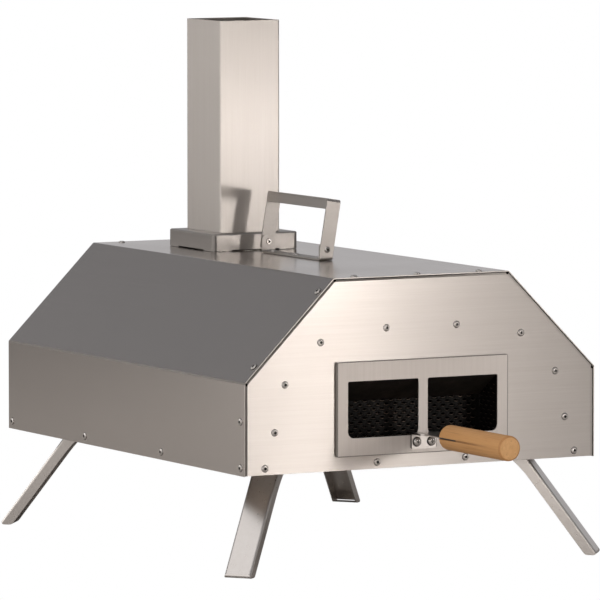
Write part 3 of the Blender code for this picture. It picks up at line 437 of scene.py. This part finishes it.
def near_screws(made, radius):
    """One within a distance of the axis of any of the brackets' screws."""
    across, up = made.away("X"), made.along("Z")
    screws = [middle_of(name).xz for name in ("hatch_screw_right", "door_screw_right")]
    return made.math("MAXIMUM", *(made.within(across, up, screw, radius) for screw in screws))


def screw_painted_shade(made):
    """Painted shade in the recess of each of the brackets' screws, and round the foot of its head."""
    foot = made.math("SUBTRACT", 1.0, near_screws(made, SCREW_DOME))
    return made.math("MULTIPLY", made.math("MAXIMUM", near_screws(made, SCREW_EYE), foot), RECESS_SHADE)


def bracket_shade(made):
    """Painted shade in a ring around each screw, along the cut sides, and on the tongue inside the grip's
    slit.
    """
    tongue = made.past(made.away("Y"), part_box("door_grip")[0].y + TONGUE_RIM)
    side = made.past(made.away("X"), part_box("door_bracket")[1].x - BRACKET_RIM)
    hidden = made.math("MAXIMUM", tongue, side)
    dark = made.math("MAXIMUM", near_screws(made, SCREW_SHADE), hidden)
    return made.math("MULTIPLY", dark, RECESS_SHADE)


def bright_steel(name, roughness, scuffing, painted_shade=None):
    """Plain rolled stainless of small parts, with a little scuffing, and painted shade where a mask is
    given.
    """
    made = Shader(name, metallic=1.0)
    scuff = made.even_noise(SCUFFS, 4.0, 0.6)
    reach = 0.2 / scuffing
    colour = made.ramp(scuff, (0.5 - reach, ROLLED_DARK), (0.5 + reach, ROLLED_LIGHT))
    # Painted shade: darkens the colour towards near-black where the mask is
    if painted_shade:
        colour = made.mix(painted_shade(made), colour, PAINTED_SHADE_DARK)
    rough = made.spread(scuff, roughness - 0.05 * scuffing, roughness + 0.08 * scuffing)
    normal = made.bump(scuff, 0.01 * MM, 0.3 * scuffing, made.eased_edges(0.3 * MM))
    return made.finish(Base_Color=colour, Roughness=rough, Normal=normal)


def sooty_steel(name, tone):
    """Stainless browned by heat and dulled by soot, darker in patches."""
    made = Shader(name, metallic=0.7)
    patches = made.even_noise(SOOT_PATCHES, 5.0, 0.65)
    grit = made.even_noise(SOOT_GRIT, 3.0, 0.6)
    tones = [(spot, [part * tone for part in colour]) for spot, colour in SOOT_TONES]
    normal = made.bump(grit, 0.08 * MM, 0.5, made.eased_edges(0.4 * MM))
    rough = made.spread(patches, 0.62, 0.38)
    return made.finish(Base_Color=made.ramp(patches, *tones), Roughness=rough, Normal=normal)


def beech(name):
    """Plain beech turned to a dowel: straight grain along Y with short dark flecks."""
    made = Shader(name)
    growth = made.grained_noise("y", WOOD_GROWTH, 4.0, 0.6, distortion=0.4)
    pores = made.grained_noise("y", WOOD_PORES, 2.0)
    flecks = made.grained_noise("y", WOOD_FLECKS, 2.0)
    colour = made.ramp(growth, *BEECH_TONES)
    flecked = made.mix(made.spread(flecks, 0.0, 0.40, 0.60, 0.72), colour, FLECK_TONE)
    porous = made.mix(made.spread(pores, 0.0, 0.30, 0.55, 0.75), flecked, PORE_TONE)
    facing = made.node("ShaderNodeSeparateXYZ", {0: made.node("ShaderNodeNewGeometry").outputs["Normal"]})
    towards_end = made.math("ABSOLUTE", facing.outputs["Y"], 0.0)
    # Darker round the eased rim, and lighter on the end faces as painted light
    rim = made.ramp(towards_end, (0.10, WHITE), (0.45, RIM_DARKENING), (0.90, RIM_DARKENING), (0.98, END_FACE_LIGHT))
    rim_darkened_end_lit = made.mix(1.0, porous, rim, "MULTIPLY")
    normal = made.bump(pores, 0.06 * MM, 0.5)
    return made.finish(Base_Color=rim_darkened_end_lit, Roughness=made.spread(pores, 0.50, 0.66), Normal=normal)


def cordierite(name):
    """A pale, sandy baking stone with fine specks and a few toasted patches."""
    made = Shader(name)
    sand = made.even_noise(STONE_SAND, 3.0, 0.7)
    toast = made.even_noise(STONE_PATCHES, 4.0, 0.6)
    colour = made.ramp(sand, *STONE_TONES)
    toasted = made.mix(made.spread(toast, 0.0, 0.6, 0.5, 0.75), colour, TOAST_TONE)
    normal = made.bump(sand, 0.2 * MM, 0.6)
    return made.finish(Base_Color=toasted, Roughness=made.spread(sand, 0.95, 0.82), Normal=normal)


def rivet_shade_black(name):
    """Near-black painted shade for the hollow in the middle of a pulled rivet and the seat under its head.
    """
    made = Shader(name, metallic=0.3)
    speckle = made.even_noise(EYE_SPECKLE, 2.0)
    rough = made.spread(speckle, 0.5, 0.8)
    return made.finish(Base_Color=made.ramp(speckle, *EYE_TONES), Roughness=rough)


SOOTED = ("oven_liner", "stone_rail", "flue_spigot", "fuel_basket", "basket_rail")
LEG_PARTS = ("leg_bracket", "leg_front", "leg_rear")


def named_looks():
    """The materials of the nodes that are dressed by their full name."""
    shell = brushed_steel(
        "shell steel", "y", roughness=0.21, stretch=0.6, lines=0.5, ease=0.3 * MM, painted_shade=shell_painted_shade
    )
    panel = brushed_steel("panel steel", "x", roughness=0.38, stretch=0.88, painted_shade=panel_painted_shade)
    plate = {"grain": "z", "roughness": 0.60, "stretch": 0.10, "ease": 0.5 * MM, "tone": 1.22}
    tube = {"grain": "z", "roughness": 0.33, "stretch": 0.85, "ease": 0.2 * MM, "tone": 0.87}
    collar = {"grain": "y", "roughness": 0.34, "stretch": 0.85, "bends": collar_bends, "tone": 0.77}
    bail = brushed_steel("bail steel", "y", roughness=0.40, stretch=0.85, tone=0.75)
    brackets = bright_steel("bracket steel", roughness=0.30, scuffing=0.2, painted_shade=bracket_shade)
    pivots = bright_steel("pivot steel", roughness=0.25, scuffing=0.5, painted_shade=pivot_painted_shade)
    return {
        "outer_shell": shell,
        "base_pan": shell,
        "burner_end_panel": panel,
        "mouth_end_panel": panel,
        "hatch_plate": brushed_steel("hatch steel", painted_shade=plate_painted_shade, **plate),
        "door_plate": brushed_steel("door steel", **plate),
        "hatch_bracket": brackets,
        "door_bracket": brackets,
        "chimney_tube": brushed_steel("chimney steel", **tube),
        "chimney_collar": brushed_steel("collar steel", **collar),
        "bail_handle": bail,
        "bail_bracket": bail,
        "bail_pivot_front": pivots,
        "bail_pivot_rear": pivots,
        "hatch_baffle": sooty_steel("baffle steel", tone=1.7),
        "pizza_stone": cordierite("cordierite"),
    }


def dress_frame():
    """Gives every CAD node its material."""
    looks = named_looks()
    legs = bright_steel("leg steel", roughness=0.28, scuffing=0.15)
    screws = bright_steel("screw steel", roughness=0.22, scuffing=0.3, painted_shade=screw_painted_shade)
    bright = bright_steel("bright steel", roughness=0.28, scuffing=0.5)
    soot = sooty_steel("sooty steel", tone=0.8)
    for name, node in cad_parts.items():
        if name.startswith(SOOTED):
            dress(node, soot)
        elif name.startswith(LEG_PARTS):
            dress(node, legs)
        elif "_screw_" in name:
            dress(node, screws)
        elif name.endswith("grip"):
            dress(node, beech(f"{name} wood"))
        else:
            dress(node, looks.get(name, bright))


def dress(node, material):
    """Gives a CAD node one material."""
    node.data.materials.clear()
    node.data.materials.append(material)


# ---------------------------------------------------------------- pieces


def place_object(name, data):
    """A new object in the scene that shows a mesh, a light or a camera."""
    made = bpy.data.objects.new(name, data)
    bpy.context.scene.collection.objects.link(made)
    return made


def mesh_object(name, mesh, *materials):
    """A new object in the scene from a bmesh, which it uses up."""
    data = bpy.data.meshes.new(name)
    mesh.to_mesh(data)
    mesh.free()
    for material in materials:
        data.materials.append(material)
    return place_object(name, data)


def piece(name, mesh, body, slot, *materials, smoothing=None):
    """A finished piece from a bmesh, riding on a CAD body."""
    made = mesh_object(name, mesh, *materials)
    if smoothing:
        made.data.shade_smooth()
        made.data.set_sharp_from_angle(angle=math.radians(smoothing))
    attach(made, body)
    return made


def ring(mesh, radius, along, sides, place):
    """A circle of vertices about the local Z axis, moved by a matrix."""
    angles = [math.tau * step / sides for step in range(sides)]
    spots = [Vector((radius * math.cos(a), radius * math.sin(a), along)) for a in angles]
    return [mesh.verts.new(place @ spot) for spot in spots]


def skin(mesh, loops, index=0):
    """Quads between rings that follow each other."""
    for first, second in zip(loops, loops[1:]):
        for step, start in enumerate(first):
            after = (step + 1) % len(first)
            face = mesh.faces.new((start, first[after], second[after], second[step]))
            face.material_index = index


def turn_solid(mesh, profile, sides, place):
    """A turned solid with flat ends from a profile of (radius, height) pairs."""
    loops = [ring(mesh, radius, along, sides, place) for radius, along in profile]
    skin(mesh, loops)
    mesh.faces.new(loops[0][::-1])
    mesh.faces.new(loops[-1])


def arc(radius, rise, start, end, steps):
    """Points of an elliptical arc as (across, up), from one angle to another in degrees."""
    angles = [math.radians(start + (end - start) * step / steps) for step in range(steps + 1)]
    return [(radius * math.cos(a), rise * math.sin(a)) for a in angles]


def rotation(degrees, axis):
    """A matrix that turns about an axis."""
    return Matrix.Rotation(math.radians(degrees), 4, axis)


# ---------------------------------------------------------------- pop rivets


def add_rivet(mesh, point, normal):
    """A pulled rivet: a seat in near-black as a painted shadow, a low bright dome and the eye left by its
    mandrel in near-black painted shade.
    """
    place = Matrix.Translation(point) @ Vector(normal).to_track_quat("Z", "Y").to_matrix().to_4x4()
    lip = RIVET_SEAT_RISE + RIVET_LIP
    curve = arc(RIVET_HEAD - RIVET_EYE, RIVET_RISE - lip, 0, DOME_ARC, DOME_STEPS)
    dome = [(RIVET_EYE + across, lip + up) for across, up in curve]
    seat = [(RIVET_SEAT, 0.0), (RIVET_SEAT, RIVET_SEAT_RISE), (RIVET_HEAD, RIVET_SEAT_RISE)]
    rim, floor = RIVET_RISE - RIVET_EYE_RIM, RIVET_EYE_FLOOR
    hollow = [(RIVET_EYE, rim), (RIVET_EYE * RIVET_EYE_TAPER, floor)]
    loops = [ring(mesh, radius, along, RIVET_SIDES, place) for radius, along in seat + dome + hollow]
    skin(mesh, loops[:3], SECOND)
    skin(mesh, loops[2:-2])
    skin(mesh, loops[-3:], SECOND)
    mesh.faces.new(loops[0][::-1]).material_index = SECOND
    mesh.faces.new(loops[-1]).material_index = SECOND


def rivet_row(name, spots, bright, eye):
    """One piece of rivets that each stand on a point and face along a normal."""
    mesh = bmesh.new()
    for point, normal in spots:
        add_rivet(mesh, Vector(point), normal)
    return piece(name, mesh, "body", "bright_stainless", bright, eye, smoothing=RIVET_SMOOTHING)


def shell_rivets(bright, eye):
    """Rivets along the shell's sides, chamfers and roof, which hold its end panels and base pan."""
    low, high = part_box("outer_shell")
    near = high.y - SIDE_RIVET_INSET
    slope = math.sqrt(0.5)
    foot = SIDE_RIVET_HEIGHTS[0]
    for side, word in ((-1, "left"), (1, "right")):
        places = [(-near, up) for up in SIDE_RIVET_HEIGHTS]
        places += [(along, foot) for along in (near, -SIDE_RIVET_MIDDLE, SIDE_RIVET_MIDDLE)]
        spots = [((side * high.x, along, low.z + up), (side, 0, 0)) for along, up in places]
        for across, up in CHAMFER_RIVETS:
            spots.append(((side * across, -near, low.z + up), (side * slope, 0, slope)))
        rivet_row(f"shell_rivets_{word}", spots, bright, eye)
    inset = high.y - ROOF_RIVET_INSET
    spots = [((across, end * inset, high.z), (0, 0, 1)) for across in ROOF_RIVETS for end in (-1, 1)]
    rivet_row("roof_rivets", spots, bright, eye)


def end_rivets(bright, eye):
    """The burner end's rivets, finer than the CAD ones, and the same pattern clear of the mouth's door."""
    spots, mirrored = [], []
    names = [name for name in sorted(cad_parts) if name.startswith("burner_rivet")]
    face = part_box("burner_end_panel")[0].y
    door_low, door_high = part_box("door_plate")
    for x, _, z in map(middle_of, names):
        spots.append(((x, face, z), (0, -1, 0)))
        if abs(x) > door_high.x or z > door_high.z or z < door_low.z:
            mirrored.append(((-x, -face, z), (0, 1, 0)))
    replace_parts(rivet_row("burner_end_rivets", spots, bright, eye), *names)
    rivet_row("mouth_end_rivets", mirrored, bright, eye)


def bail_rivets(bright, eye):
    """Three rivets that hold the bail's bracket on the roof."""
    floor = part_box("bail_bracket")[0].z + BAIL_SHEET
    middle = middle_of("bail_bracket").y
    spots = [((0, middle + along, floor), (0, 0, 1)) for along in BAIL_RIVETS]
    rivet_row("bail_bracket_rivets", spots, bright, eye)


# ---------------------------------------------------------------- fuel basket


def perforated(mesh, width, height, place):
    """A sheet with staggered rows of flat holes, in the local XZ plane from its lower left corner."""
    rows = int(height / ROW_PITCH)
    foot = (height - rows * ROW_PITCH) / 2
    count = int((width - HOLE_PITCH / 2) / HOLE_PITCH)
    edge = (width - count * HOLE_PITCH) / 2
    for row in range(rows):
        low = foot + row * ROW_PITCH
        shift = HOLE_PITCH / 2 if row % 2 else 0.0
        holes = count - row % 2
        for column in range(holes):
            hole_cell(mesh, edge + shift + column * HOLE_PITCH, low, place)
        plain_cell(mesh, 0.0, edge + shift, low, low + ROW_PITCH, place)
        plain_cell(mesh, width - edge - shift, width, low, low + ROW_PITCH, place)
    plain_cell(mesh, 0.0, width, 0.0, foot, place)
    plain_cell(mesh, 0.0, width, height - foot, height, place)


def plain_cell(mesh, left, right, low, high, place):
    """A rectangle of sheet without a hole."""
    corners = [(left, low), (right, low), (right, high), (left, high)]
    mesh.faces.new([mesh.verts.new(place @ Vector((x, 0, z))) for x, z in corners])


def hole_cell(mesh, left, low, place):
    """One cell of the sheet: six outer points around a hole of twelve sides with a lip at its foot, whose
    second material is a painted glint.
    """
    half, rise = HOLE_PITCH / 2, ROW_PITCH
    outer = [(0, 0), (half, 0), (2 * half, 0), (2 * half, rise), (half, rise), (0, rise)]
    outer = [mesh.verts.new(place @ Vector((left + x, 0, low + z))) for x, z in outer]
    inner = []
    for step in range(HOLE_SIDES):
        angle = math.radians(HOLE_START + 360 / HOLE_SIDES * step)
        across, up = math.cos(angle), math.sin(angle)
        x, z = left + half + across * HOLE_WIDTH / 2, low + rise / 2 + up * HOLE_HEIGHT / 2
        inner.append(mesh.verts.new(place @ Vector((x, LIP * min(up, 0.0), z))))
    for step, start in enumerate(outer):
        around = [inner[(2 * step + ahead) % HOLE_SIDES] for ahead in (2, 1, 0)]
        mesh.faces.new([start, outer[(step + 1) % len(outer)]] + around)
    curl = place.to_3x3() @ Vector((0, 0, LIP_CURL))
    raised = [mesh.verts.new(vertex.co + curl) for vertex in inner[: LIP_SIDES + 1]]
    for step in range(LIP_SIDES):
        lip = mesh.faces.new((inner[step], inner[step + 1], raised[step + 1], raised[step]))
        lip.material_index = SECOND


def basket_sheets(mesh, low, high):
    """The basket's grate, back, sides and floor, and the plain flanges beside its front."""
    left, right = low.x + BASKET_FLANGE, high.x - BASKET_FLANGE
    width, height, depth = right - left, high.z - low.z, high.y - low.y
    half_sheet = PERFORATED_SHEET / 2
    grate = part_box("hatch_baffle")[1].y + GRATE_SETBACK
    for y in (grate, high.y - half_sheet):
        perforated(mesh, width, height, Matrix.Translation((left, y, low.z)))
    for x in (left + half_sheet, right - half_sheet):
        perforated(mesh, depth, height, Matrix.Translation((x, low.y, low.z)) @ rotation(90, "Z"))
    floor = Matrix.Translation((left, low.y + FLOOR_SETBACK, low.z + half_sheet)) @ rotation(-90, "X")
    perforated(mesh, width, depth - FLOOR_SETBACK, floor)
    for x in (left - BASKET_FLANGE, right):
        place = Matrix.Translation((x, low.y + half_sheet, low.z))
        plain_cell(mesh, 0.0, BASKET_FLANGE, 0.0, height, place)


def fuel_basket(soot, painted_glint):
    """The fuel box of perforated sheet, instead of the plain CAD sheets."""
    mesh = bmesh.new()
    basket_sheets(mesh, *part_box("fuel_basket"))
    bmesh.ops.remove_doubles(mesh, verts=mesh.verts, dist=WELD)
    bmesh.ops.recalc_face_normals(mesh, faces=mesh.faces)
    made = piece("perforated_basket", mesh, "fuel_hatch", "sooty_steel", soot, painted_glint)
    thick = made.modifiers.new("sheet", "SOLIDIFY")
    thick.thickness = PERFORATED_SHEET
    thick.offset = 0.0
    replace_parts(made, "fuel_basket")


# ---------------------------------------------------------------- grips


def grip(node, body, wood):
    """A finely turned dowel with eased ends and the slit that its bracket's tongue sits in."""
    low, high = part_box(node)
    middle, radius = (low + high) / 2, (high.x - low.x) / 2
    outwards = -1 if middle.y < 0 else 1
    inner, length = (high.y if outwards < 0 else low.y), high.y - low.y
    ease = arc(GRIP_EASE, GRIP_EASE, 0, 90, GRIP_EASE_STEPS)
    flat, straight = radius - GRIP_EASE, length - GRIP_EASE
    start = [(flat + across, GRIP_EASE - up) for across, up in reversed(ease)]
    end = [(flat + across, straight + up) for across, up in ease]
    place = Matrix.Translation((middle.x, inner, middle.z)) @ rotation(-90 * outwards, "X")
    mesh = bmesh.new()
    turn_solid(mesh, start + end, GRIP_SIDES, place)
    bmesh.ops.recalc_face_normals(mesh, faces=mesh.faces)
    made = piece(f"turned_{node}", mesh, body, "beech", wood, smoothing=GRIP_SMOOTHING)
    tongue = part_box(node.replace("grip", "bracket"))
    reach = tongue[0].y if outwards < 0 else tongue[1].y
    span = sorted((inner - outwards * GRIP_EASE, reach + outwards * GRIP_SLIT_PLAY))
    cut_slit(made, middle, span, radius)
    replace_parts(made, node)


def cut_slit(target, middle, span, radius):
    """Cuts the tongue's slit across a grip and leaves no cutter behind."""
    mesh = bmesh.new()
    bmesh.ops.create_cube(mesh, size=1.0)
    size = Matrix.Diagonal((4 * radius, span[1] - span[0], GRIP_SLIT, 1.0))
    place = Matrix.Translation((middle.x, sum(span) / 2, middle.z))
    bmesh.ops.transform(mesh, matrix=place @ size, verts=mesh.verts)
    cutter = mesh_object("slit", mesh)
    slit = target.modifiers.new("slit", "BOOLEAN")
    slit.operation = "DIFFERENCE"
    slit.solver = "EXACT"
    slit.object = cutter
    graph = bpy.context.evaluated_depsgraph_get()
    target.data = bpy.data.meshes.new_from_object(target.evaluated_get(graph))
    target.modifiers.clear()
    bpy.data.objects.remove(cutter)


# ---------------------------------------------------------------- studio


def bare_nodes(owner):
    """The emptied node tree of a material or a world."""
    owner.use_nodes = True
    owner.node_tree.nodes.clear()
    return Nodes(owner.node_tree)


def studio_floor():
    """A sheet of pale paper that the camera itself sees as pure white."""
    mesh = bmesh.new()
    bmesh.ops.create_grid(mesh, x_segments=1, y_segments=1, size=FLOOR_SIZE)
    material = bpy.data.materials.new("studio floor")
    made = bare_nodes(material)
    paper = made.node("ShaderNodeBsdfDiffuse", {"Color": FLOOR_TONE}).outputs[0]
    glow = made.node("ShaderNodeEmission", {"Color": (*WHITE, 1.0), "Strength": 1.0}).outputs[0]
    made.show(paper, glow, "ShaderNodeOutputMaterial")
    floor = mesh_object("studio_floor", mesh, material)


def studio_world():
    """Soft surroundings that the steel reflects: light near the horizon, darker overhead, white behind."""
    world = bpy.data.worlds.new("studio")
    bpy.context.scene.world = world
    made = bare_nodes(world)
    way = made.node("ShaderNodeTexCoord").outputs["Generated"]
    height = made.node("ShaderNodeSeparateXYZ", {0: way}).outputs["Z"]
    low, high = SKY_RISE
    rise = made.ramp(height, (low, BLACK), (high, WHITE))
    behind = (0.5 * math.sin(-AZIMUTH), 0.5 * math.cos(AZIMUTH), 0.0)
    depth = made.node("ShaderNodeVectorMath", {0: way, 1: behind}, operation="DOT_PRODUCT")
    horizon = made.ramp(made.math("ADD", depth.outputs["Value"], 0.5), *HORIZON_TONES)
    sky = made.mix(rise, horizon, SKY_TOP)
    soft = made.node("ShaderNodeBackground", {"Color": sky}).outputs[0]
    white = made.node("ShaderNodeBackground", {"Color": (*WHITE, 1.0)}).outputs[0]
    made.show(soft, white, "ShaderNodeOutputWorld")


def area_light(name, place, aim, size, power, colour):
    """A rectangular light that hangs at one place and faces another."""
    data = bpy.data.lights.new(name, "AREA")
    data.shape = "RECTANGLE"
    data.size, data.size_y = size
    data.energy = power
    data.color = colour
    made = place_object(name, data)
    made.location = place
    made.rotation_euler = (Vector(place) - Vector(aim)).to_track_quat("Z", "Y").to_euler()


def camera():
    """The photo's camera, which looks at one point from its azimuth, elevation and distance."""
    data = bpy.data.cameras.new("camera")
    data.lens = LENS
    data.sensor_width = SENSOR
    back = Vector((math.sin(AZIMUTH), -math.cos(AZIMUTH), 0.0)) * math.cos(ELEVATION)
    back.z = math.sin(ELEVATION)
    made = place_object("camera", data)
    made.location = Vector(LOOK_AT) + back * DISTANCE
    made.rotation_euler = back.to_track_quat("Z", "Y").to_euler()
    bpy.context.scene.camera = made


def studio():
    """The camera, the floor, the world and the lights."""
    bpy.context.scene.view_settings.view_transform = "Standard"
    camera()
    studio_floor()
    studio_world()
    for name, setting in LIGHTS.items():
        area_light(name, *setting)


def add_rivets():
    """All the pop rivets, which share two materials."""
    bright = bright_steel("rivet steel", roughness=0.28, scuffing=0.5)
    # Painted shade: the rivets' eyes and seats are near-black
    eye = rivet_shade_black("rivet eye")
    shell_rivets(bright, eye)
    end_rivets(bright, eye)
    bail_rivets(bright, eye)


studio()
dress_frame()
add_rivets()
# The basket's lips take a far brighter sooty steel as a painted glint
fuel_basket(sooty_steel("basket steel", tone=0.28), sooty_steel("worn lip steel", tone=5.5))
grip("hatch_grip", "fuel_hatch", beech("hatch grip beech"))
grip("door_grip", "mouth_door", beech("door grip beech"))
